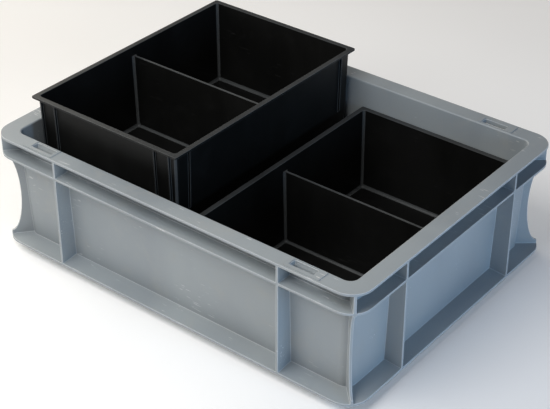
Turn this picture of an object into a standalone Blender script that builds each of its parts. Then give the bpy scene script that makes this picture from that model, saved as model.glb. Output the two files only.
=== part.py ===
"""Stacking container, 400 x 300 x 120 mm, with two insert bins of two compartments each.

Metres, +Z up. The origin is the centre of the container's footprint, on the surface that it stands on.
+X runs along the container's long side. Both inserts are the same moulding: the right one stands on the
container's floor, and the left one is lifted part of the way out.
"""

import math

import bmesh
import bpy
from mathutils import Matrix, Vector

MM = 0.001

# Container, outside
LENGTH = 400 * MM
WIDTH = 300 * MM
HEIGHT = 120 * MM
CORNER_RADIUS = 20 * MM
RIM_THICKNESS = 2.4 * MM
PAD_RISE = 0.5 * MM  # the slotted pads stand this far above the rest of the rim
RIB_THICKNESS = 2.4 * MM
RIB_SETBACK = 0.2 * MM  # the upright ribs stop just short of the rim's edge
HOOP_BOTTOM = 99 * MM  # the rib that runs round the container below the rim
HOOP_THICKNESS = 2.2 * MM
LONG_SIDE_RIB_X = 123 * MM
SHORT_SIDE_RIB_Y = 82 * MM
BASE_FLANGE_BOTTOM = 9.3 * MM
BASE_FLANGE_EDGE = 2.2 * MM
BASE_FLANGE_TOP = 13 * MM  # where its slope meets the wall

# Container, walls and floor
WALL = 2.1 * MM
WALL_INSET_TOP = 14.3 * MM  # from the container's edge to the wall's outer face
WALL_INSET_BOTTOM = 17.7 * MM
WALL_CORNER_RADIUS = 10.2 * MM
FLOOR_TOP = 6 * MM
FLOOR_THICKNESS = 2.5 * MM
FLOOR_FILLET = 3 * MM
FOOT_WIDTH = 3.6 * MM
BASE_RIB = 3 * MM
BASE_POCKETS_X = 4
BASE_POCKETS_Y = 3
CAVITY_RISE = 5 * MM  # how far the cavity's cutter stands above the rim

# Rim slots, four in the long sides
SLOT_LENGTH = 23 * MM
SLOT_WIDTH = 6.8 * MM
SLOT_X = 142.5 * MM
SLOT_Y = 140.3 * MM
PAD_X_INNER = 127.5 * MM
PAD_X_OUTER = 162 * MM
PAD_EDGE_INSET = 2 * MM

# Corner ribs: upright below the rim, then hollowed by half an ellipse down to the base flange
CORNER_RIB_THICKNESS = 2.5 * MM
CORNER_RIB_INSET = 8.5 * MM  # along the diagonal, from where the container's sides would meet
CORNER_HOLLOW_DEPTH = 12 * MM
CORNER_HOLLOW_BOTTOM = 15 * MM
CORNER_HOLLOW_TOP = 98 * MM
CORNER_RIB_ROOT = 32 * MM  # inside the wall's corner

# Inserts
INSERT_LENGTH = 252 * MM  # along Y
INSERT_WIDTH = 170 * MM
INSERT_HEIGHT = 88.5 * MM
INSERT_RIM_WIDTH = 5 * MM
INSERT_RIM_THICKNESS = 2 * MM
INSERT_RIM_CORNER = 1.5 * MM
INSERT_WALL = 1.8 * MM
INSERT_DRAFT = 2 * MM  # how much each wall leans in from rim to base
INSERT_CORNER_RADIUS = 5 * MM
INSERT_FLOOR_BOTTOM = 2.6 * MM
INSERT_FLOOR = 2 * MM
INSERT_FILLET = 3 * MM
DIVIDER_THICKNESS = 2 * MM
DIVIDER_DROP = 9 * MM  # from the insert's rim to the divider's top
GUSSET_THICKNESS = 1.4 * MM
GUSSET_HEIGHT = 60 * MM
GUSSET_FOOT = 3 * MM  # the height over which the lower end slants back to the wall
GUSSET_END_X = (10 * MM, 26.5 * MM)  # from the rim's corner, on the faces towards +Y and -Y
GUSSET_SIDE_Y = 19.5 * MM  # the same, on the faces towards +X and -X

# Where the inserts' middles are, and how far the left one is lifted
LEFT_INSERT_AT = (-91.6 * MM, 6.2 * MM)
RIGHT_INSERT_AT = (90.3 * MM, 4.2 * MM)
LEFT_LIFT = 56.5 * MM
STANDING_GAP = 0.3 * MM

# Facets to a rounded edge
CORNER_SEGMENTS = 6
INSERT_CORNER_SEGMENTS = 4
INSERT_RIM_SEGMENTS = 2
FILLET_SEGMENTS = 3
HOLLOW_SEGMENTS = 14  # down each corner rib's hollow
SMOOTH_BELOW = math.radians(30)

CONTAINER_COLOUR = (0.26, 0.30, 0.34)
INSERT_COLOUR = (0.01, 0.01, 0.011)

SIDES = (-1, 1)
CORNERS = [(sx, sy) for sx in SIDES for sy in SIDES]
OVERLAP = 1 * MM  # how far shapes that are joined run into each other, and cutters past a face
SAME_PLACE = 0.001 * MM


def plastic(name, colour, roughness):
    material = bpy.data.materials.new(name)
    material.use_nodes = True
    shader = material.node_tree.nodes["Principled BSDF"]
    shader.inputs["Base Color"].default_value = (*colour, 1)
    shader.inputs["Roughness"].default_value = roughness
    shader.inputs["Metallic"].default_value = 0
    return material


def object_from(name, bm):
    bmesh.ops.recalc_face_normals(bm, faces=bm.faces)
    mesh = bpy.data.meshes.new(name)
    bm.to_mesh(mesh)
    bm.free()
    shape = bpy.data.objects.new(name, mesh)
    bpy.context.scene.collection.objects.link(shape)
    return shape


def is_upright(edge):
    """True for an edge between the block's lower and upper ends."""
    low, high = sorted(vertex.co.z for vertex in edge.verts)
    return high - low > SAME_PLACE


def rounded_block(name, low, high, z_low, z_high, radius, segments=CORNER_SEGMENTS, floor_fillet=0):
    """A block centred on Z. low and high are its (x, y) sizes at its two ends; radius rounds its uprights."""
    bm = bmesh.new()
    bmesh.ops.create_cube(bm, size=1)
    for vertex in bm.verts:
        size, z = (low, z_low) if vertex.co.z < 0 else (high, z_high)
        vertex.co = Vector((vertex.co.x * size[0], vertex.co.y * size[1], z))
    uprights = [edge for edge in bm.edges if is_upright(edge)]
    bmesh.ops.bevel(bm, geom=uprights, offset=radius, segments=segments, profile=0.5, affect="EDGES")
    if floor_fillet:
        bottom = [edge for edge in bm.edges if all(abs(v.co.z - z_low) < SAME_PLACE for v in edge.verts)]
        bmesh.ops.bevel(
            bm, geom=bottom, offset=floor_fillet, segments=FILLET_SEGMENTS, profile=0.5, affect="EDGES"
        )
    return object_from(name, bm)


def box(name, x, y, z):
    """A plain box between the two values of each axis."""
    bm = bmesh.new()
    bmesh.ops.create_cube(bm, size=1)
    for vertex in bm.verts:
        vertex.co = Vector(span[vertex.co[axis] > 0] for axis, span in enumerate((x, y, z)))
    return object_from(name, bm)


def plate(name, outline, thickness):
    """A flat outline in the XZ plane, given thickness along Y."""
    curve = bpy.data.curves.new(name, "CURVE")
    curve.dimensions = "2D"
    curve.fill_mode = "BOTH"
    curve.extrude = thickness / 2
    spline = curve.splines.new("POLY")
    spline.points.add(len(outline) - 1)
    for point, (x, z) in zip(spline.points, outline):
        point.co = (x, z, 0, 1)
    spline.use_cyclic_u = True
    drawn = bpy.data.objects.new(name, curve)
    bpy.context.scene.collection.objects.link(drawn)
    bpy.context.view_layer.update()
    flat = drawn.evaluated_get(bpy.context.evaluated_depsgraph_get())
    bm = bmesh.new()
    bm.from_mesh(bpy.data.meshes.new_from_object(flat))
    bmesh.ops.remove_doubles(bm, verts=bm.verts, dist=SAME_PLACE)
    bmesh.ops.transform(bm, matrix=Matrix.Rotation(math.radians(90), 4, "X"), verts=bm.verts)
    bpy.data.objects.remove(drawn)
    return object_from(name, bm)


def combine(target, tools, operation):
    """Joins the tools to the target or cuts them from it, and removes them."""
    for tool in tools:
        modifier = target.modifiers.new(tool.name, "BOOLEAN")
        modifier.operation = operation
        modifier.solver = "EXACT"
        modifier.object = tool
    bpy.context.view_layer.update()
    evaluated = target.evaluated_get(bpy.context.evaluated_depsgraph_get())
    result = bpy.data.meshes.new_from_object(evaluated)
    target.modifiers.clear()
    target.data = result
    for tool in tools:
        bpy.data.objects.remove(tool)


def wall_inset(z):
    """From the container's edge to its wall's outer face, at a height."""
    return WALL_INSET_BOTTOM + (WALL_INSET_TOP - WALL_INSET_BOTTOM) * z / HEIGHT


def footprint(inset):
    return (LENGTH - 2 * inset, WIDTH - 2 * inset)


def wall_block():
    return rounded_block(
        "container",
        footprint(wall_inset(0)),
        footprint(wall_inset(HEIGHT - RIM_THICKNESS / 2)),
        0,
        HEIGHT - RIM_THICKNESS / 2,
        WALL_CORNER_RADIUS,
    )


def flanges():
    """The rim, the hoop below it, and the base flange with its sloping top, all still solid plates."""
    rim_top = HEIGHT - PAD_RISE
    base_edge_top = BASE_FLANGE_BOTTOM + BASE_FLANGE_EDGE
    levels = {
        "rim": (rim_top - RIM_THICKNESS, rim_top),
        "hoop": (HOOP_BOTTOM, HOOP_BOTTOM + HOOP_THICKNESS),
        "base_flange": (BASE_FLANGE_BOTTOM, base_edge_top),
    }
    made = [
        rounded_block(name, footprint(0), footprint(0), low, high, CORNER_RADIUS)
        for name, (low, high) in levels.items()
    ]
    slope = rounded_block(
        "base_slope",
        footprint(RIB_SETBACK),
        footprint(wall_inset(BASE_FLANGE_TOP) + OVERLAP),
        base_edge_top - OVERLAP,
        BASE_FLANGE_TOP,
        CORNER_RADIUS,
    )
    return made + [slope]


def upright_ribs():
    """Plates right across the container, which the cavity later parts into a rib on each side."""
    z = (BASE_FLANGE_BOTTOM + OVERLAP, HEIGHT - PAD_RISE - OVERLAP)
    half_x, half_y = LENGTH / 2 - RIB_SETBACK, WIDTH / 2 - RIB_SETBACK
    half = RIB_THICKNESS / 2
    ribs = []
    for side in SIDES:
        at_x, at_y = side * LONG_SIDE_RIB_X, side * SHORT_SIDE_RIB_Y
        ribs.append(box("long_side_rib", (at_x - half, at_x + half), (-half_y, half_y), z))
        ribs.append(box("short_side_rib", (-half_x, half_x), (at_y - half, at_y + half), z))
    return ribs


def corner_rib_outline():
    """Points of (distance from the corner along the diagonal, height)."""
    middle = (CORNER_HOLLOW_BOTTOM + CORNER_HOLLOW_TOP) / 2
    half_height = (CORNER_HOLLOW_TOP - CORNER_HOLLOW_BOTTOM) / 2
    low, high = BASE_FLANGE_BOTTOM + OVERLAP, HEIGHT - PAD_RISE - OVERLAP
    outline = [(CORNER_RIB_ROOT, low), (CORNER_RIB_INSET, low)]
    for step in range(HOLLOW_SEGMENTS + 1):
        turn = math.pi * step / HOLLOW_SEGMENTS
        inset = CORNER_RIB_INSET + CORNER_HOLLOW_DEPTH * math.sin(turn)
        outline.append((inset, middle - half_height * math.cos(turn)))
    return outline + [(CORNER_RIB_INSET, high), (CORNER_RIB_ROOT, high)]


def corner_ribs():
    ribs = []
    for sx, sy in CORNERS:
        rib = plate("corner_rib", corner_rib_outline(), CORNER_RIB_THICKNESS)
        inward = math.atan2(-sy, -sx)
        corner = Vector((sx * LENGTH / 2, sy * WIDTH / 2, 0))
        rib.data.transform(Matrix.Translation(corner) @ Matrix.Rotation(inward, 4, "Z"))
        ribs.append(rib)
    return ribs


def slot_pads():
    """Raised pads on the rim, filled in over the cavity until it is cut."""
    z = (HEIGHT - PAD_RISE - OVERLAP, HEIGHT)
    half_y = WIDTH / 2 - PAD_EDGE_INSET
    return [
        box("pad", sorted((side * PAD_X_INNER, side * PAD_X_OUTER)), (-half_y, half_y), z)
        for side in SIDES
    ]


def cavity():
    top = HEIGHT + CAVITY_RISE
    return rounded_block(
        "cavity",
        footprint(wall_inset(FLOOR_TOP) + WALL),
        footprint(wall_inset(top) + WALL),
        FLOOR_TOP,
        top,
        WALL_CORNER_RADIUS - WALL,
        floor_fillet=FLOOR_FILLET,
    )


def rim_slots():
    z = (HEIGHT - PAD_RISE - RIM_THICKNESS - OVERLAP, HEIGHT + OVERLAP)
    slots = []
    for sx, sy in CORNERS:
        x = (sx * SLOT_X - SLOT_LENGTH / 2, sx * SLOT_X + SLOT_LENGTH / 2)
        y = (sy * SLOT_Y - SLOT_WIDTH / 2, sy * SLOT_Y + SLOT_WIDTH / 2)
        slots.append(box("slot", x, y, z))
    return slots


def base_pockets():
    """Shallow pockets in the underside, which leave a foot all round and a grid of low ribs."""
    length, width = footprint(wall_inset(0) + FOOT_WIDTH)
    size_x = (length - (BASE_POCKETS_X - 1) * BASE_RIB) / BASE_POCKETS_X
    size_y = (width - (BASE_POCKETS_Y - 1) * BASE_RIB) / BASE_POCKETS_Y
    pockets = []
    for column in range(BASE_POCKETS_X):
        for row in range(BASE_POCKETS_Y):
            x = -length / 2 + column * (size_x + BASE_RIB)
            y = -width / 2 + row * (size_y + BASE_RIB)
            z = (-OVERLAP, FLOOR_TOP - FLOOR_THICKNESS)
            pockets.append(box("pocket", (x, x + size_x), (y, y + size_y), z))
    return pockets


def build_container():
    container = wall_block()
    combine(container, flanges() + upright_ribs() + corner_ribs() + slot_pads(), "UNION")
    combine(container, [cavity()] + rim_slots() + base_pockets(), "DIFFERENCE")
    return container


def insert_wall_inset(z):
    """From the insert's rim edge to its wall's outer face, at a height above the insert's base."""
    at_rim = INSERT_RIM_WIDTH - INSERT_WALL
    return at_rim + INSERT_DRAFT * (1 - z / INSERT_HEIGHT)


def insert_footprint(inset):
    return (INSERT_WIDTH - 2 * inset, INSERT_LENGTH - 2 * inset)


def hollow():
    """Both compartments in one, before the divider goes in."""
    floor = INSERT_FLOOR_BOTTOM + INSERT_FLOOR
    top = INSERT_HEIGHT + OVERLAP
    return rounded_block(
        "hollow",
        insert_footprint(insert_wall_inset(floor) + INSERT_WALL),
        insert_footprint(insert_wall_inset(top) + INSERT_WALL),
        floor,
        top,
        INSERT_CORNER_RADIUS - INSERT_WALL,
        INSERT_CORNER_SEGMENTS,
        INSERT_FILLET,
    )


def divider():
    """The dividing wall, which runs into the side walls and the floor."""
    low = INSERT_FLOOR_BOTTOM + INSERT_FLOOR / 2
    high = INSERT_HEIGHT - DIVIDER_DROP
    half_x = [INSERT_WIDTH / 2 - insert_wall_inset(z) - INSERT_WALL / 2 for z in (low, high)]
    half_y = DIVIDER_THICKNESS / 2
    wall = box("divider", (-half_x[0], half_x[0]), (-half_y, half_y), (low, high))
    for vertex in wall.data.vertices:
        if vertex.co.z > (low + high) / 2:
            vertex.co.x *= half_x[1] / half_x[0]
    return wall


def gussets():
    """Upright ribs on the insert's wall, from the underside of its rim down, standing out evenly from it."""
    top = INSERT_HEIGHT - INSERT_RIM_THICKNESS / 2
    low = top - GUSSET_HEIGHT
    half_x, half_y = INSERT_WIDTH / 2, INSERT_LENGTH / 2
    outline = [
        (RIB_SETBACK, top),
        (RIB_SETBACK + insert_wall_inset(low + GUSSET_FOOT) - insert_wall_inset(top), low + GUSSET_FOOT),
        (insert_wall_inset(low) + OVERLAP / 2, low),
        (insert_wall_inset(low) + OVERLAP, low),
        (insert_wall_inset(top) + OVERLAP, top),
    ]
    places = []
    for sx, sy in CORNERS:
        for distance in GUSSET_END_X:
            places.append((Vector((sx * (half_x - distance), sy * half_y, 0)), math.radians(-90 * sy)))
        turn = math.radians(180) if sx > 0 else 0
        places.append((Vector((sx * half_x, sy * (half_y - GUSSET_SIDE_Y), 0)), turn))
    brackets = []
    for place, turn in places:
        bracket = plate("gusset", outline, GUSSET_THICKNESS)
        bracket.data.transform(Matrix.Translation(place) @ Matrix.Rotation(turn, 4, "Z"))
        brackets.append(bracket)
    return brackets


def insert_shape():
    """One insert with its origin at the centre of its base, as an object whose mesh both inserts share."""
    wall_top = INSERT_HEIGHT - INSERT_RIM_THICKNESS / 2
    shape = rounded_block(
        "insert",
        insert_footprint(insert_wall_inset(0)),
        insert_footprint(insert_wall_inset(wall_top)),
        0,
        wall_top,
        INSERT_CORNER_RADIUS,
        INSERT_CORNER_SEGMENTS,
    )
    rim = rounded_block(
        "insert_rim",
        insert_footprint(0),
        insert_footprint(0),
        INSERT_HEIGHT - INSERT_RIM_THICKNESS,
        INSERT_HEIGHT,
        INSERT_RIM_CORNER,
        INSERT_RIM_SEGMENTS,
    )
    combine(shape, [rim] + gussets(), "UNION")
    recess = rounded_block(
        "base_recess",
        insert_footprint(insert_wall_inset(0) + INSERT_WALL),
        insert_footprint(insert_wall_inset(0) + INSERT_WALL),
        -OVERLAP,
        INSERT_FLOOR_BOTTOM,
        INSERT_CORNER_RADIUS - INSERT_WALL,
        INSERT_CORNER_SEGMENTS,
    )
    combine(shape, [hollow(), recess], "DIFFERENCE")
    combine(shape, [divider()], "UNION")
    return shape


def build_inserts():
    shape = insert_shape()
    standing = FLOOR_TOP + STANDING_GAP
    places = {
        "insert_left": (*LEFT_INSERT_AT, standing + LEFT_LIFT),
        "insert_right": (*RIGHT_INSERT_AT, standing),
    }
    inserts = []
    for name, place in places.items():
        insert = bpy.data.objects.new(name, shape.data)
        insert.location = place
        inserts.append(insert)
    bpy.data.objects.remove(shape)
    return inserts


def main():
    for item in list(bpy.data.objects):
        bpy.data.objects.remove(item)
    parts = bpy.data.collections.new("stacking_container")
    bpy.context.scene.collection.children.link(parts)

    container = build_container()
    bpy.context.scene.collection.objects.unlink(container)
    inserts = build_inserts()
    for item in [container] + inserts:
        parts.objects.link(item)

    container.data.materials.append(plastic("container_plastic", CONTAINER_COLOUR, 0.45))
    inserts[0].data.materials.append(plastic("insert_plastic", INSERT_COLOUR, 0.4))
    for mesh in (container.data, inserts[0].data):
        mesh.shade_smooth()
        mesh.set_sharp_from_angle(angle=SMOOTH_BELOW)


main()
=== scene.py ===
# Grey stacking container with two black inserts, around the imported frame
import bpy
import math
from mathutils import Matrix, Vector


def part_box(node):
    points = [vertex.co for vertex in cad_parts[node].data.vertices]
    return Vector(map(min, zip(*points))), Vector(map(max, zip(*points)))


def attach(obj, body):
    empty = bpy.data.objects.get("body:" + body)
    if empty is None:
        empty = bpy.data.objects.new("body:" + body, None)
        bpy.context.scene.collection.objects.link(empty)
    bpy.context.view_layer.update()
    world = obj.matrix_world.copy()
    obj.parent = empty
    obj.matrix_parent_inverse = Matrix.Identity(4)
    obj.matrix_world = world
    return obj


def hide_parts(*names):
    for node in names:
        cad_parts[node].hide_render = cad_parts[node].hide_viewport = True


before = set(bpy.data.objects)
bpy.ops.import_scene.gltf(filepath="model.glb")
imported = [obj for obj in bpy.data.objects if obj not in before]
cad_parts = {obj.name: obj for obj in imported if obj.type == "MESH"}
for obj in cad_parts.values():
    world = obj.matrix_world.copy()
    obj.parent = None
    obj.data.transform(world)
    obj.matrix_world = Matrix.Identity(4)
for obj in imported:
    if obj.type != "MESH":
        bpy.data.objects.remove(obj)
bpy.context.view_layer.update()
mm = 0.001
hair = 0.01 * mm  # closer than this counts as the same place


def makeActive(piece):
    if bpy.context.object and bpy.context.object.mode != "OBJECT":
        bpy.ops.object.mode_set(mode="OBJECT")
    bpy.ops.object.select_all(action="DESELECT")
    piece.select_set(True)
    bpy.context.view_layer.objects.active = piece


def clearChoice(mesh):
    for group in (mesh.vertices, mesh.edges, mesh.polygons):
        group.foreach_set("select", [False] * len(group))


def pick(piece, kind, test):
    # leaves the piece in edit mode with only the edges, faces or verts that pass the test selected
    makeActive(piece)
    mesh = piece.data
    clearChoice(mesh)
    if kind == "FACE":
        for face in mesh.polygons:
            face.select = test(face.center, face.normal)
    elif kind == "EDGE":
        for edge in mesh.edges:
            a, b = (mesh.vertices[i].co for i in edge.vertices)
            edge.select = test(a, b)
    else:
        for vertex in mesh.vertices:
            vertex.select = test(vertex.co)
    bpy.context.tool_settings.mesh_select_mode = [kind == mode for mode in ("VERT", "EDGE", "FACE")]
    bpy.ops.object.mode_set(mode="EDIT")


def leaveEdit():
    bpy.ops.object.mode_set(mode="OBJECT")


def applyAll(piece):
    makeActive(piece)
    for modifier in list(piece.modifiers):
        bpy.ops.object.modifier_apply(modifier=modifier.name)


def settle(piece):
    # puts the piece's place into its mesh
    makeActive(piece)
    bpy.ops.object.transform_apply(location=True, rotation=True, scale=True)


def upright(a, b):
    return abs(a.z - b.z) > hair


def drawBlock(name, low, high, bottom, top, radius, steps=8):
    # block centred on Z, (x, y) sizes at its two ends, upright edges rounded
    bpy.ops.object.select_all(action="DESELECT")
    bpy.ops.mesh.primitive_cube_add(size=1, location=(0, 0, (bottom + top) / 2))
    block = bpy.context.object
    block.name = name
    block.scale = (low[0], low[1], top - bottom)
    settle(block)
    middle = (bottom + top) / 2
    pick(block, "VERT", lambda co: co.z > middle)
    bpy.ops.transform.resize(value=(high[0] / low[0], high[1] / low[1], 1), center_override=(0, 0, top))
    if radius:
        leaveEdit()
        pick(block, "EDGE", upright)
        bpy.ops.mesh.bevel(offset=radius, segments=steps, affect="EDGES")
    leaveEdit()
    return block


def drawBar(name, x, y, z):
    # plain bar between two values of each axis
    bpy.ops.object.select_all(action="DESELECT")
    middle = [(a + b) / 2 for a, b in (x, y, z)]
    bpy.ops.mesh.primitive_cube_add(size=1, location=middle)
    bar = bpy.context.object
    bar.name = name
    bar.scale = [abs(b - a) for a, b in (x, y, z)]
    settle(bar)
    return bar


def roundLevel(block, level, width, steps=3):
    # rounds the edges that lie at one height
    pick(block, "EDGE", lambda a, b: abs(a.z - level) < hair and abs(b.z - level) < hair)
    bpy.ops.mesh.bevel(offset=width, segments=steps, affect="EDGES")
    leaveEdit()


def combine(target, tools, operation):
    for tool in tools:
        cut = target.modifiers.new(tool.name, "BOOLEAN")
        cut.operation = operation
        cut.solver = "EXACT"
        cut.object = tool
        applyAll(target)
        bpy.data.objects.remove(tool)
    return target


def tidyFaces(piece):
    # closes up the slivers that joining leaves
    pick(piece, "VERT", lambda co: True)
    bpy.ops.mesh.remove_doubles(threshold=0.03 * mm)
    bpy.ops.mesh.dissolve_degenerate(threshold=0.02 * mm)
    leaveEdit()


def splitLevel(piece, level, cuts):
    # parts the flat faces at one height along the given x or y lines
    # and clears the slanting edges that joining left
    for axis, place in cuts:
        pick(piece, "FACE", lambda centre, normal: normal.z > 0.9 and abs(centre.z - level) < hair)
        normal = (1, 0, 0) if axis == 0 else (0, 1, 0)
        spot = (place, 0, 0) if axis == 0 else (0, place, 0)
        bpy.ops.mesh.bisect(plane_co=spot, plane_no=normal)
        leaveEdit()
    flat = flatEdges(piece)
    pick(piece, "EDGE", lambda a, b: False)
    leaveEdit()
    for i in flat:
        a, b = (piece.data.vertices[v].co for v in piece.data.edges[i].vertices)
        slants = abs(a.x - b.x) > hair and abs(a.y - b.y) > hair
        piece.data.edges[i].select = slants and abs(a.z - level) < hair and abs(b.z - level) < hair
    bpy.ops.object.mode_set(mode="EDIT")
    bpy.ops.mesh.dissolve_edges(use_verts=False)
    leaveEdit()


def flatEdges(piece):
    # edges between two faces in one plane
    sides = {}
    for face in piece.data.polygons:
        for key in face.edge_keys:
            sides.setdefault(key, []).append(face.normal)
    return [edge.index for edge in piece.data.edges
            if len(sides[edge.key]) == 2 and sides[edge.key][0].dot(sides[edge.key][1]) > 0.99999]


def isNarrow(mesh, face, width):
    around = [mesh.vertices[i].co for i in face.vertices]
    longest = max((a - b).length for a, b in zip(around, around[1:] + around[:1]))
    return face.area < longest * width


def softenEdges(piece, width, stays=None, steps=2, angle=35):
    # rounds every sharp edge, inner and outer, but those that stay
    pick(piece, "EDGE", lambda a, b: False)
    bpy.ops.mesh.edges_select_sharp(sharpness=math.radians(angle))
    if stays:
        leaveEdit()
        mesh = piece.data
        chosen = {edge.index for edge in mesh.edges if edge.select}
        ends = {i: [mesh.vertices[v].co for v in mesh.edges[i].vertices] for i in chosen}
        clearChoice(mesh)
        for i in chosen:
            mesh.edges[i].select = not stays(*ends[i])
        bpy.ops.object.mode_set(mode="EDIT")
    bpy.ops.mesh.bevel(offset=width, segments=steps, affect="EDGES", clamp_overlap=False, miter_outer="ARC")
    leaveEdit()
    # the new faces are still selected, and the plastic is paler there: whitened wear plus a painted
    # highlight on the rounding
    wornAndSheen = piece.data.attributes.new("wearAndHighlightEdge", "FLOAT", "FACE")
    narrow = [face.select and isNarrow(piece.data, face, width) for face in piece.data.polygons]
    wornAndSheen.data.foreach_set("value", [float(each) for each in narrow])


def shadeMoulding(piece):
    makeActive(piece)
    bpy.ops.object.shade_smooth_by_angle(angle=math.radians(40))
    normals = piece.modifiers.new("flatFaces", "WEIGHTED_NORMAL")
    normals.keep_sharp = True
    applyAll(piece)


tub = {
    "length": 400 * mm, "width": 300 * mm, "height": 120 * mm, "cornerRadius": 20 * mm,
    "rimThickness": 2.4 * mm, "padRise": 0.5 * mm,
    "ribThickness": 2.4 * mm, "longSideRibX": 123 * mm, "shortSideRibY": 82 * mm,
    "hoopBottom": 99 * mm, "hoopTop": 101.2 * mm,
    "baseBottom": 9.3 * mm, "baseEdgeTop": 11.5 * mm, "baseTop": 13 * mm,
    "wall": 2.1 * mm, "wallInsetTop": 14.3 * mm, "wallInsetBottom": 17.7 * mm, "wallCorner": 10.2 * mm,
    "floorTop": 6 * mm, "floorThickness": 2.5 * mm, "floorFillet": 3 * mm,
    "footWidth": 3.6 * mm, "baseRib": 3 * mm, "pocketsX": 4, "pocketsY": 3,
    "slotLength": 23 * mm, "slotWidth": 6.8 * mm, "slotX": 142.5 * mm, "slotY": 140.3 * mm,
    "slotCollar": 1.4 * mm, "slotCollarDepth": 5 * mm,
    "padInner": 127.5 * mm, "padOuter": 162 * mm, "padEdge": 2 * mm,
    "padLip": 1.7 * mm, "padGap": 0.8 * mm, "lipRadius": 1.4 * mm,
    "cornerSteps": 9, "cornerRib": 2.4 * mm, "hollowDepth": 12 * mm,
    "hollowBottom": 15 * mm, "hollowTop": 98 * mm, "cornerRibRoot": 32 * mm,
    "edgeRadius": 0.45 * mm,
}
corners = [(sx, sy) for sx in (-1, 1) for sy in (-1, 1)]


def wallInset(z):
    return tub["wallInsetBottom"] + (tub["wallInsetTop"] - tub["wallInsetBottom"]) * z / tub["height"]


def tubPrint(inset):
    return tub["length"] - 2 * inset, tub["width"] - 2 * inset


def drawFlange(name, bottom, top):
    return drawBlock(name, tubPrint(0), tubPrint(0), bottom, top, tub["cornerRadius"], tub["cornerSteps"])


def drawFlanges():
    rimTop = tub["height"] - tub["padRise"]
    flanges = [
        drawFlange("rim", rimTop - tub["rimThickness"], rimTop),
        drawFlange("hoop", tub["hoopBottom"], tub["hoopTop"]),
        drawFlange("base", tub["baseBottom"], tub["baseEdgeTop"]),
    ]
    reach = tubPrint(wallInset(tub["baseTop"]) + mm)
    # the sloping top of the base flange grows out of its top face
    base = flanges[2]
    pick(base, "FACE", lambda centre, normal: normal.z > 0.9)
    bpy.ops.mesh.extrude_region_move(
        TRANSFORM_OT_translate={"value": (0, 0, tub["baseTop"] - tub["baseEdgeTop"])})
    bpy.ops.transform.resize(value=(reach[0] / tub["length"], reach[1] / tub["width"], 1),
                             center_override=(0, 0, tub["baseTop"]))
    leaveEdit()
    return flanges


def drawUprights():
    z = (tub["baseBottom"] + mm, tub["height"] - tub["padRise"] - mm)
    halfX, halfY, half = tub["length"] / 2, tub["width"] / 2, tub["ribThickness"] / 2
    ribs = []
    for side in (-1, 1):
        x, y = side * tub["longSideRibX"], side * tub["shortSideRibY"]
        ribs.append(drawBar("longSideRib", (x - half, x + half), (-halfY, halfY), z))
        ribs.append(drawBar("shortSideRib", (-halfX, halfX), (y - half, y + half), z))
    return ribs


def drawCornerRib(sx, sy, steps=20):
    # a thin strip down the corner, its outer points pulled in along half an ellipse
    # and the whole then turned to the diagonal
    low, high = tub["baseBottom"] + mm, tub["height"] - tub["padRise"] - mm
    # flush with the middle facet of the flange corners
    inset = tub["cornerRadius"] * (math.sqrt(2) - math.cos(math.pi / 4 / tub["cornerSteps"]))
    root, half = tub["cornerRibRoot"], tub["cornerRib"] / 2
    rib = drawBar("cornerRib", (inset, root), (-half, half), (tub["hollowBottom"], tub["hollowTop"]))
    pick(rib, "EDGE", upright)
    bpy.ops.mesh.subdivide(number_cuts=steps - 1)
    leaveEdit()
    middle = (tub["hollowBottom"] + tub["hollowTop"]) / 2
    halfHeight = (tub["hollowTop"] - tub["hollowBottom"]) / 2
    for vertex in rib.data.vertices:
        turn = math.pi / 2 * (vertex.co.z - middle) / halfHeight
        vertex.co.z = middle + halfHeight * math.sin(turn)  # closer points where the curve is tight
        if vertex.co.x < (inset + root) / 2:
            vertex.co.x = inset + tub["hollowDepth"] * math.cos(turn)
    for level, height in ((tub["hollowBottom"], low), (tub["hollowTop"], high)):
        pick(rib, "FACE", lambda centre, normal: abs(centre.z - level) < hair)
        bpy.ops.mesh.extrude_region_move(TRANSFORM_OT_translate={"value": (0, 0, height - level)})
        leaveEdit()
    corner = Vector((sx * tub["length"] / 2, sy * tub["width"] / 2, 0))
    rib.data.transform(Matrix.Translation(corner) @ Matrix.Rotation(math.atan2(-sy, -sx), 4, "Z"))
    return rib


def drawPads():
    # low pads around the slots, which the next container stands on
    low, high = tub["height"] - tub["padRise"] - mm, tub["height"]
    innerY = tub["width"] / 2 - wallInset(high) - tub["wall"] + tub["padLip"]
    outerY = tub["width"] / 2 - tub["padEdge"]
    reachX, reachY = (tub[side] / 2 + tub["padGap"] for side in ("slotLength", "slotWidth"))
    pads = []
    for sx, sy in corners:
        pad = drawBar("pad", (sx * tub["padInner"], sx * tub["padOuter"]), (sy * innerY, sy * outerY),
                      (low, high))
        mouth = drawBar("mouth", (sx * tub["slotX"] - reachX, sx * tub["slotX"] + reachX),
                        (sy * tub["slotY"] - reachY, sy * tub["slotY"] + reachY), (low - mm, high + mm))
        pads.append(combine(pad, [mouth], "DIFFERENCE"))
    return pads


def drawCollars():
    top = tub["height"] - tub["padRise"] - mm
    low = tub["height"] - tub["slotCollarDepth"]
    reachX = tub["slotLength"] / 2 + tub["slotCollar"]
    reachY = tub["slotWidth"] / 2 + tub["slotCollar"]
    return [drawBar("collar", (sx * tub["slotX"] - reachX, sx * tub["slotX"] + reachX),
                    (sy * tub["slotY"] - reachY, sy * tub["slotY"] + reachY), (low, top))
            for sx, sy in corners]


def drawSlots():
    low, high = tub["height"] - 2 * tub["slotCollarDepth"], tub["height"] + mm
    slots = []
    for sx, sy in corners:
        x = (sx * tub["slotX"] - tub["slotLength"] / 2, sx * tub["slotX"] + tub["slotLength"] / 2)
        y = (sy * tub["slotY"] - tub["slotWidth"] / 2, sy * tub["slotY"] + tub["slotWidth"] / 2)
        slots.append(drawBar("slot", x, y, (low, high)))
    return slots


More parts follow.
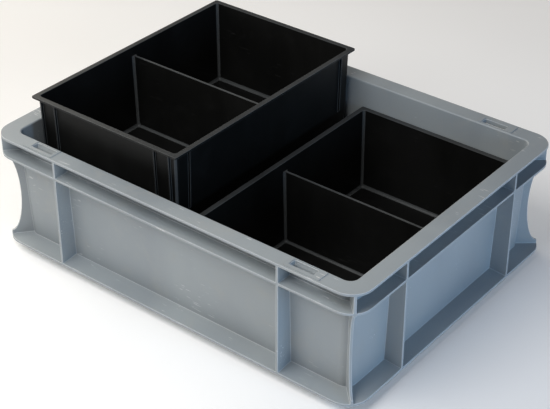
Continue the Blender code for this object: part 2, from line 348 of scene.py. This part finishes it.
def drawCavity():
    top = tub["height"] + 5 * mm
    cavity = drawBlock("cavity", tubPrint(wallInset(tub["floorTop"]) + tub["wall"]),
                       tubPrint(wallInset(top) + tub["wall"]), tub["floorTop"], top,
                       tub["wallCorner"] - tub["wall"])
    roundLevel(cavity, tub["floorTop"], tub["floorFillet"], 4)
    return cavity


def drawPockets():
    length, width = tubPrint(wallInset(0) + tub["footWidth"])
    sizeX = (length - (tub["pocketsX"] - 1) * tub["baseRib"]) / tub["pocketsX"]
    sizeY = (width - (tub["pocketsY"] - 1) * tub["baseRib"]) / tub["pocketsY"]
    pockets = []
    for column in range(tub["pocketsX"]):
        for row in range(tub["pocketsY"]):
            x = -length / 2 + column * (sizeX + tub["baseRib"])
            y = -width / 2 + row * (sizeY + tub["baseRib"])
            pockets.append(drawBar("pocket", (x, x + sizeX), (y, y + sizeY),
                                   (-mm, tub["floorTop"] - tub["floorThickness"])))
    return pockets


def isLip(co, rimTop):
    # on the rim's inner edge, where the cavity was cut
    inset = wallInset(rimTop) + tub["wall"] + 0.05 * mm
    return abs(co.z - rimTop) < hair and abs(co.x) < tub["length"] / 2 - inset + 0.1 * mm \
        and abs(co.y) < tub["width"] / 2 - inset + 0.1 * mm


def isPadEdge(a, b, rimTop):
    # the pads are too low to round: their top edges, risers and feet stay
    if max(a.z, b.z) > rimTop + hair:
        return True
    return min(a.z, b.z) > rimTop - hair and all(isPadFoot(co) for co in (a, b))


def isPadFoot(co):
    x, y = abs(co.x), abs(co.y)
    lipY = tub["width"] / 2 - wallInset(tub["height"]) - tub["wall"] + tub["padLip"] / 2
    slotX = abs(x - tub["slotX"]) - tub["slotLength"] / 2
    slotY = abs(y - tub["slotY"]) - tub["slotWidth"] / 2
    return (tub["padInner"] - hair < x < tub["padOuter"] + hair
            and lipY < y < tub["width"] / 2 - tub["padEdge"] / 2
            and max(slotX, slotY) > tub["padGap"] / 2)


def drawTub():
    wallTop = tub["height"] - tub["padRise"] - mm
    shell = drawBlock("containerShell", tubPrint(wallInset(0)), tubPrint(wallInset(wallTop)), 0, wallTop,
                      tub["wallCorner"])
    combine(shell, drawFlanges() + drawUprights() + [drawCornerRib(*c) for c in corners], "UNION")
    combine(shell, drawCollars() + drawPads(), "UNION")
    combine(shell, [drawCavity()] + drawSlots() + drawPockets(), "DIFFERENCE")
    tidyFaces(shell)
    print("container joined:", len(shell.data.polygons), "faces")
    rimTop = tub["height"] - tub["padRise"]
    splitLevel(shell, rimTop, [(0, -tub["slotX"]), (0, 0), (0, tub["slotX"]), (1, 0)])
    pick(shell, "EDGE", lambda a, b: all(isLip(co, rimTop) for co in (a, b)))
    bpy.ops.mesh.bevel(offset=tub["lipRadius"], segments=3, affect="EDGES")
    leaveEdit()
    softenEdges(shell, tub["edgeRadius"], lambda a, b: isPadEdge(a, b, rimTop))
    shadeMoulding(shell)
    print("container edges rounded:", len(shell.data.polygons), "faces")
    return shell


containerShell = drawTub()
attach(containerShell, "container")
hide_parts("container")


insert = {
    "width": 170 * mm, "length": 252 * mm, "height": 88.5 * mm,
    "rimWidth": 5 * mm, "rimThickness": 2 * mm, "rimCorner": 1.5 * mm,
    "wall": 1.8 * mm, "draft": 2 * mm, "corner": 5 * mm,
    "floorBottom": 2.6 * mm, "floor": 2 * mm, "fillet": 3 * mm,
    "divider": 2 * mm, "dividerDrop": 9 * mm, "edgeRadius": 0.35 * mm,
    "gusset": 1.4 * mm, "gussetSetback": 0.9 * mm, "gussetFoot": 3 * mm, "gussetHeight": 60 * mm,
    "gussetEnd": (10 * mm, 26.5 * mm), "gussetSide": 19.5 * mm,
}


def insertInset(z):
    return insert["rimWidth"] - insert["wall"] + insert["draft"] * (1 - z / insert["height"])


def insertPrint(inset):
    return insert["width"] - 2 * inset, insert["length"] - 2 * inset


def drawGusset(place, turn):
    # an upright rib under the rim that stands out evenly from the leaning wall, its foot slanted back
    top = insert["height"] - insert["rimThickness"] / 2
    foot = top - insert["gussetHeight"] + insert["gussetFoot"]
    gusset = drawBar("gusset", (insert["gussetSetback"], insertInset(top) + mm),
                     (-insert["gusset"] / 2, insert["gusset"] / 2), (foot, top))
    lean = insertInset(foot) - insertInset(top)
    pick(gusset, "FACE", lambda centre, normal: normal.z < -0.9)
    bpy.ops.transform.translate(value=(lean, 0, 0))
    depth = insertInset(foot) - insert["gussetSetback"] - lean - 0.3 * mm
    bpy.ops.mesh.extrude_region_move(TRANSFORM_OT_translate={"value": (0, 0, -insert["gussetFoot"])})
    leaveEdit()
    pick(gusset, "VERT", lambda co: co.z < foot - mm and co.x < insertInset(foot))
    bpy.ops.transform.translate(value=(depth, 0, 0))
    leaveEdit()
    gusset.data.transform(Matrix.Translation(place) @ Matrix.Rotation(turn, 4, "Z"))
    return gusset


def drawGussets():
    halfX, halfY = insert["width"] / 2, insert["length"] / 2
    gussets = []
    for sx, sy in corners:
        for distance in insert["gussetEnd"]:
            gussets.append(drawGusset((sx * (halfX - distance), sy * halfY, 0), math.radians(-90 * sy)))
        turn = math.pi if sx > 0 else 0
        gussets.append(drawGusset((sx * halfX, sy * (halfY - insert["gussetSide"]), 0), turn))
    return gussets


def drawOpening(name, y, z):
    # tapered like the walls, between two values of y and z, open side up
    opening = drawBlock(name, insertPrint(insertInset(z[0]) + insert["wall"]),
                        insertPrint(insertInset(z[1]) + insert["wall"]), z[0], z[1], 0)
    for edge, outward in zip(y, (-1, 1)):
        if edge is None:
            continue
        pick(opening, "FACE", lambda centre, normal: True)
        bpy.ops.mesh.bisect(plane_co=(0, edge, 0), plane_no=(0, outward, 0), use_fill=True,
                            clear_outer=True)
        leaveEdit()
    return opening


def drawHollow():
    # two compartments with every inner corner rounded, and the mouth above the divider
    floor, top = insert["floorBottom"] + insert["floor"], insert["height"] + mm
    dividerTop = insert["height"] - insert["dividerDrop"]
    half = insert["divider"] / 2
    mouth = drawOpening("mouth", (None, None), (dividerTop, top))
    near = drawOpening("nearCompartment", (None, -half), (floor, dividerTop))
    far = drawOpening("farCompartment", (half, None), (floor, dividerTop))
    for opening in (mouth, near, far):
        pick(opening, "EDGE", lambda a, b: upright(a, b) or max(a.z, b.z) < floor + hair)
        bpy.ops.mesh.bevel(offset=insert["fillet"], segments=5, affect="EDGES")
        leaveEdit()
    return [mouth, near, far]


def paintFilletHighlights(shell):
    # painted highlight: the rounded inner corners and the divider's top are as pale as the edges; a painted
    # reflection makes the rim's top half as pale
    wornAndSheen = shell.data.attributes["wearAndHighlightEdge"].data
    insideX, insideY = insert["width"] / 2 - insert["rimWidth"], insert["length"] / 2 - insert["rimWidth"]
    floorMiddle = insert["floorBottom"] + insert["floor"] / 2
    dividerTop = insert["height"] - insert["dividerDrop"]
    for face in shell.data.polygons:
        x, y, z = face.center
        inside = abs(x) < insideX and abs(y) < insideY and z > floorMiddle
        rounded = max(abs(n) for n in face.normal) < 0.985
        if inside and (rounded or (face.normal.z > 0.9 and abs(z - dividerTop) < hair)):
            wornAndSheen[face.index].value = 1
        # painted reflection on the rim's top
        elif face.normal.z > 0.9 and z > insert["height"] - hair:
            wornAndSheen[face.index].value = 0.55


def drawInsert():
    wallTop = insert["height"] - insert["rimThickness"] / 2
    shell = drawBlock("insertShell", insertPrint(insertInset(0)), insertPrint(insertInset(wallTop)),
                      0, wallTop, insert["corner"], 6)
    rim = drawBlock("insertRim", insertPrint(0), insertPrint(0), insert["height"] - insert["rimThickness"],
                    insert["height"], insert["rimCorner"], 3)
    combine(shell, [rim] + drawGussets(), "UNION")
    recessPrint = insertPrint(insertInset(0) + insert["wall"])
    recess = drawBlock("recess", recessPrint, recessPrint, -mm, insert["floorBottom"],
                       insert["corner"] - insert["wall"], 6)
    combine(shell, drawHollow() + [recess], "DIFFERENCE")
    tidyFaces(shell)
    print("insert joined:", len(shell.data.polygons), "faces")
    dividerTop = insert["height"] - insert["dividerDrop"]

    def isDividerEnd(a, b):
        return max(abs(a.z - dividerTop), abs(b.z - dividerTop)) < hair and abs(a.y - b.y) > hair

    softenEdges(shell, insert["edgeRadius"], isDividerEnd)
    paintFilletHighlights(shell)
    shadeMoulding(shell)
    print("insert edges rounded:", len(shell.data.polygons), "faces")
    return shell


def placeInsert(pattern, node):
    low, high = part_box(node)
    shell = bpy.data.objects.new(node + "Shell", pattern.data.copy())
    bpy.context.scene.collection.objects.link(shell)
    shell.data.transform(Matrix.Translation(((low.x + high.x) / 2, (low.y + high.y) / 2, low.z)))
    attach(shell, node)
    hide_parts(node)
    return shell


insertPattern = drawInsert()
insertShells = [placeInsert(insertPattern, node) for node in ("insert_left", "insert_right")]
bpy.data.objects.remove(insertPattern)


def addSocket(group, title, direction, value=None):
    made = group.interface.new_socket(name=title, in_out=direction, socket_type="NodeSocketFloat")
    if value is not None:
        made.default_value = value


def startGroup(name, inputs, outputs):
    group = bpy.data.node_groups.new(name, "ShaderNodeTree")
    for title, value in inputs.items():
        addSocket(group, title, "INPUT", value)
    for title in outputs:
        addSocket(group, title, "OUTPUT")
    return group, group.nodes.new("NodeGroupInput").outputs, group.nodes.new("NodeGroupOutput").inputs


def feed(tree, value, socketIn):
    # value is another node's output, or a plain number or colour
    if isinstance(value, bpy.types.NodeSocket):
        tree.links.new(value, socketIn)
    else:
        socketIn.default_value = value


def addMath(tree, operation, first, second, clamp=False):
    node = tree.nodes.new("ShaderNodeMath")
    node.operation = operation
    node.use_clamp = clamp
    feed(tree, first, node.inputs[0])
    feed(tree, second, node.inputs[1])
    return node.outputs[0]


def addNoise(tree, scale, detail, place, roughness=0.5, distortion=0.0):
    node = tree.nodes.new("ShaderNodeTexNoise")
    for name, value in (("Scale", scale), ("Detail", detail), ("Vector", place), ("Roughness", roughness),
                        ("Distortion", distortion)):
        feed(tree, value, node.inputs[name])
    return node.outputs["Fac"]


def addRange(tree, value, low, high, newLow=0.0, newHigh=1.0):
    node = tree.nodes.new("ShaderNodeMapRange")
    node.interpolation_type = "SMOOTHSTEP"
    for name, number in (("Value", value), ("From Min", low), ("From Max", high), ("To Min", newLow),
                         ("To Max", newHigh)):
        feed(tree, number, node.inputs[name])
    return node.outputs["Result"]


def addStretch(tree, place, scale, turn):
    node = tree.nodes.new("ShaderNodeMapping")
    feed(tree, place, node.inputs["Vector"])
    node.inputs["Scale"].default_value = scale
    node.inputs["Rotation"].default_value = turn
    return node.outputs["Vector"]


def objectPlace(tree):
    return tree.nodes.new("ShaderNodeTexCoord").outputs["Object"]


def makeMouldedSurface():
    # the fine spark-eroded texture of the mould and the broad flow marks of the plastic
    group, given, out = startGroup("mouldedSurface", {"Grain Scale": 2600.0, "Flow Scale": 14.0},
                                   ("Height", "Flow"))
    place = objectPlace(group)
    fine = addNoise(group, given["Grain Scale"], 3.0, place)
    coarse = addNoise(group, addMath(group, "MULTIPLY", given["Grain Scale"], 0.2), 2.0, place)
    grain = addMath(group, "ADD", addMath(group, "MULTIPLY", fine, 0.7),
                    addMath(group, "MULTIPLY", coarse, 0.3))
    group.links.new(grain, out["Height"])
    tall = addStretch(group, place, (1.0, 1.0, 0.35), (0, 0, 0))
    streaks = addNoise(group, given["Flow Scale"], 4.0, tall, distortion=0.6)
    broad = addNoise(group, addMath(group, "MULTIPLY", given["Flow Scale"], 0.4), 2.0, place)
    flow = addMath(group, "SUBTRACT", addMath(group, "ADD", streaks, broad), 1.0)
    group.links.new(flow, out["Flow"])
    return group


def makeHandling():
    # thin scratches in three directions, kept to worn patches, and a soft rubbed bloom
    group, given, out = startGroup("handling", {"Scratch Amount": 0.5, "Rub Amount": 0.5},
                                   ("Scratches", "Rub"))
    place = objectPlace(group)
    lines = None
    for turn, scale in (((0, 0, 0.5), (50, 520, 520)), ((0.4, 0, -0.9), (70, 640, 640)),
                        ((0, 0.7, 2.1), (60, 800, 800))):
        noise = addNoise(group, 1.0, 1.0, addStretch(group, place, scale, turn), distortion=0.25)
        line = addRange(group, noise, 0.71, 0.75)
        lines = line if lines is None else addMath(group, "MAXIMUM", lines, line)
    patches = addRange(group, addNoise(group, 22.0, 3.0, place, 0.6), 0.52, 0.66)
    scratches = addMath(group, "MULTIPLY", lines, patches)
    scratches = addMath(group, "MULTIPLY", scratches, given["Scratch Amount"], clamp=True)
    group.links.new(scratches, out["Scratches"])
    rub = addRange(group, addNoise(group, 32.0, 6.0, place, 0.7, 0.4), 0.5, 0.72)
    group.links.new(addMath(group, "MULTIPLY", rub, given["Rub Amount"], clamp=True), out["Rub"])
    return group


def makeEdgeWearAndHighlight():
    # the pale edges and fillets, whitened wear plus painted highlight, paler where the plastic flowed thin
    group, given, out = startGroup("edgeWearAndHighlight", {"Flow": 0.0, "Least": 0.65}, ("Edge", "Paleness"))
    edge = group.nodes.new("ShaderNodeAttribute")
    edge.attribute_name = "wearAndHighlightEdge"
    uneven = addRange(group, given["Flow"], -0.4, 0.3, given["Least"], 1.0)
    group.links.new(edge.outputs["Fac"], out["Edge"])
    group.links.new(addMath(group, "MULTIPLY", edge.outputs["Fac"], uneven), out["Paleness"])
    return group


mouldedSurface = makeMouldedSurface()
handling = makeHandling()
edgeWearAndHighlight = makeEdgeWearAndHighlight()


def placeGroup(tree, group, values):
    node = tree.nodes.new("ShaderNodeGroup")
    node.node_tree = group
    for title, value in values.items():
        feed(tree, value, node.inputs[title])
    return node.outputs


def mixColour(tree, amount, first, second):
    node = tree.nodes.new("ShaderNodeMix")
    node.data_type = "RGBA"
    feed(tree, amount, node.inputs["Factor"])
    for name, value in (("A", first), ("B", second)):
        socketIn = [each for each in node.inputs if each.name == name and each.type == "RGBA"][0]
        feed(tree, value if isinstance(value, bpy.types.NodeSocket) else (*value, 1), socketIn)
    return [each for each in node.outputs if each.type == "RGBA"][0]


def mouldedPlastic(name, look):
    material = bpy.data.materials.new(name)
    material.use_nodes = True
    tree = material.node_tree
    shader = tree.nodes["Principled BSDF"]
    surface = placeGroup(tree, mouldedSurface, {"Grain Scale": look["grainScale"],
                                                "Flow Scale": look["flowScale"]})
    wear = placeGroup(tree, handling, {"Scratch Amount": look["scratches"], "Rub Amount": look["rub"]})
    edges = placeGroup(tree, edgeWearAndHighlight, {"Flow": surface["Flow"], "Least": look["leastEdgePaleness"]})
    flow = addRange(tree, surface["Flow"], -0.3, 0.3)
    colour = mixColour(tree, flow, look["dark"], look["light"])
    # paler at the edges and fillets: whitened wear plus painted highlight
    colour = mixColour(tree, edges["Paleness"], colour, look["edge"])
    colour = mixColour(tree, wear["Rub"], colour, look["rubbed"])
    colour = mixColour(tree, wear["Scratches"], colour, look["scratch"])
    tree.links.new(colour, shader.inputs["Base Color"])
    roughness = addRange(tree, surface["Flow"], -0.4, 0.4, look["smooth"], look["rough"])
    roughness = addMath(tree, "SUBTRACT", roughness, addMath(tree, "MULTIPLY", edges["Edge"], look["wornAndSheen"]))
    roughness = addMath(tree, "ADD", roughness, addMath(tree, "MULTIPLY", wear["Rub"], look["rubbedRough"]))
    scratched = addMath(tree, "MULTIPLY", wear["Scratches"], look["scratchRough"])
    roughness = addMath(tree, "ADD", roughness, scratched, clamp=True)
    tree.links.new(roughness, shader.inputs["Roughness"])
    shader.inputs["Specular IOR Level"].default_value = look["gloss"]
    bump = tree.nodes.new("ShaderNodeBump")
    bump.inputs["Strength"].default_value = look["grain"]
    bump.inputs["Distance"].default_value = look["grainDepth"]
    cuts = addMath(tree, "MULTIPLY", wear["Scratches"], look["scratchDepth"])
    tree.links.new(addMath(tree, "SUBTRACT", surface["Height"], cuts), bump.inputs["Height"])
    tree.links.new(bump.outputs["Normal"], shader.inputs["Normal"])
    return material


greyPlastic = {
    # edge: whitened wear plus painted highlight on the rounded edges
    "dark": (0.262, 0.294, 0.318), "light": (0.314, 0.348, 0.366), "edge": (0.46, 0.49, 0.51),
    "rubbed": (0.34, 0.35, 0.34), "scratch": (0.66, 0.67, 0.67),
    "smooth": 0.38, "rough": 0.52, "wornAndSheen": 0.12, "rubbedRough": 0.12, "scratchRough": 0.1, "gloss": 0.5,
    "grain": 0.35, "grainScale": 2600.0, "grainDepth": 0.05 * mm, "flowScale": 14.0,
    "scratches": 0.9, "scratchDepth": 0.6, "rub": 0.45, "leastEdgePaleness": 0.65,
}
blackPlastic = {
    # edge: painted highlight on the insert's edges, fillets and divider top, and a painted reflection on
    # its rim top
    "dark": (0.0035, 0.0036, 0.0034), "light": (0.0062, 0.0064, 0.0061), "edge": (0.078, 0.084, 0.087),
    "rubbed": (0.01, 0.01, 0.0098), "scratch": (0.04, 0.04, 0.04),
    "smooth": 0.4, "rough": 0.52, "wornAndSheen": 0.08, "rubbedRough": 0.12, "scratchRough": 0.1, "gloss": 0.25,
    "grain": 0.3, "grainScale": 2600.0, "grainDepth": 0.05 * mm, "flowScale": 18.0,
    "scratches": 0.35, "scratchDepth": 0.6, "rub": 0.3, "leastEdgePaleness": 0.65,
}
containerShell.data.materials.append(mouldedPlastic("containerPlastic", greyPlastic))
insertPlastic = mouldedPlastic("insertPlastic", blackPlastic)
for shell in insertShells:
    shell.data.materials.append(insertPlastic)
print("plastics mixed")


view = {
    "azimuth": 38.43, "elevation": 33.13, "distance": 1.2951,
    "target": (0.0216, -0.02415, 0.0688), "lens": 95.94,
}
softboxes = {  # all three aimed at the middle of the floor
    "keySoftbox": {"azimuth": -7, "elevation": 55, "distance": 1.0, "size": 0.7, "power": 6.3,
                   "colour": (1, 0.99, 0.97)},
    "leftWall": {"azimuth": -90, "elevation": 15, "distance": 2.0, "size": 2.4, "power": 56,
                 "colour": (1, 0.95, 0.83)},
    "coolFill": {"azimuth": 82, "elevation": 12, "distance": 1.4, "size": 0.56, "power": 7.8,
                 "colour": (0.42, 0.68, 1)},
}
room = {"floorSize": 12, "floorDark": (0.9, 0.9, 0.9), "floorPale": (0.93, 0.93, 0.93), "floorGlow": 0.1,
        "sky": (1, 0.93, 0.98, 1), "skyStrength": 0.14}


def direction(azimuth, elevation):
    # azimuth turns from the front, -Y, towards +X
    azimuth, elevation = math.radians(azimuth), math.radians(elevation)
    return Vector((math.sin(azimuth) * math.cos(elevation), -math.cos(azimuth) * math.cos(elevation),
                   math.sin(elevation)))


def addSoftbox(name, box):
    away = direction(box["azimuth"], box["elevation"])
    bpy.ops.object.light_add(type="AREA", location=away * box["distance"])
    light = bpy.context.object
    light.name = name
    light.data.size = box["size"]
    light.data.energy = box["power"]
    light.data.color = box["colour"]
    light.visible_camera = False
    light.rotation_euler = away.to_track_quat("Z", "Y").to_euler()


def addPaleFloor():
    bpy.ops.object.select_all(action="DESELECT")
    bpy.ops.mesh.primitive_plane_add(size=room["floorSize"], location=(0, 0, 0))
    floor = bpy.context.object
    floor.name = "studioFloor"
    paint = bpy.data.materials.new("paleFloor")
    paint.use_nodes = True
    tree = paint.node_tree
    shader = tree.nodes["Principled BSDF"]
    cloud = addRange(tree, addNoise(tree, 3.0, 2.0, objectPlace(tree)), 0.3, 0.7)
    colour = mixColour(tree, cloud, room["floorDark"], room["floorPale"])
    tree.links.new(colour, shader.inputs["Base Color"])
    shader.inputs["Roughness"].default_value = 0.8
    shader.inputs["Specular IOR Level"].default_value = 0.2
    shader.inputs["Emission Color"].default_value = (1, 1, 1, 1)
    shader.inputs["Emission Strength"].default_value = room["floorGlow"]
    floor.data.materials.append(paint)


def lightRoom():
    for name, box in softboxes.items():
        addSoftbox(name, box)
    sky = bpy.data.worlds.new("studio")
    sky.use_nodes = True
    background = sky.node_tree.nodes["Background"]
    background.inputs["Color"].default_value = room["sky"]
    background.inputs["Strength"].default_value = room["skyStrength"]
    bpy.context.scene.world = sky
    bpy.context.scene.view_settings.view_transform = "Standard"


addPaleFloor()
lightRoom()
print("floor and lights placed")

back = direction(view["azimuth"], view["elevation"])
bpy.ops.object.camera_add(location=Vector(view["target"]) + back * view["distance"])
camera = bpy.context.object
camera.rotation_euler = back.to_track_quat("Z", "Y").to_euler()
camera.data.lens = view["lens"]
bpy.context.scene.camera = camera
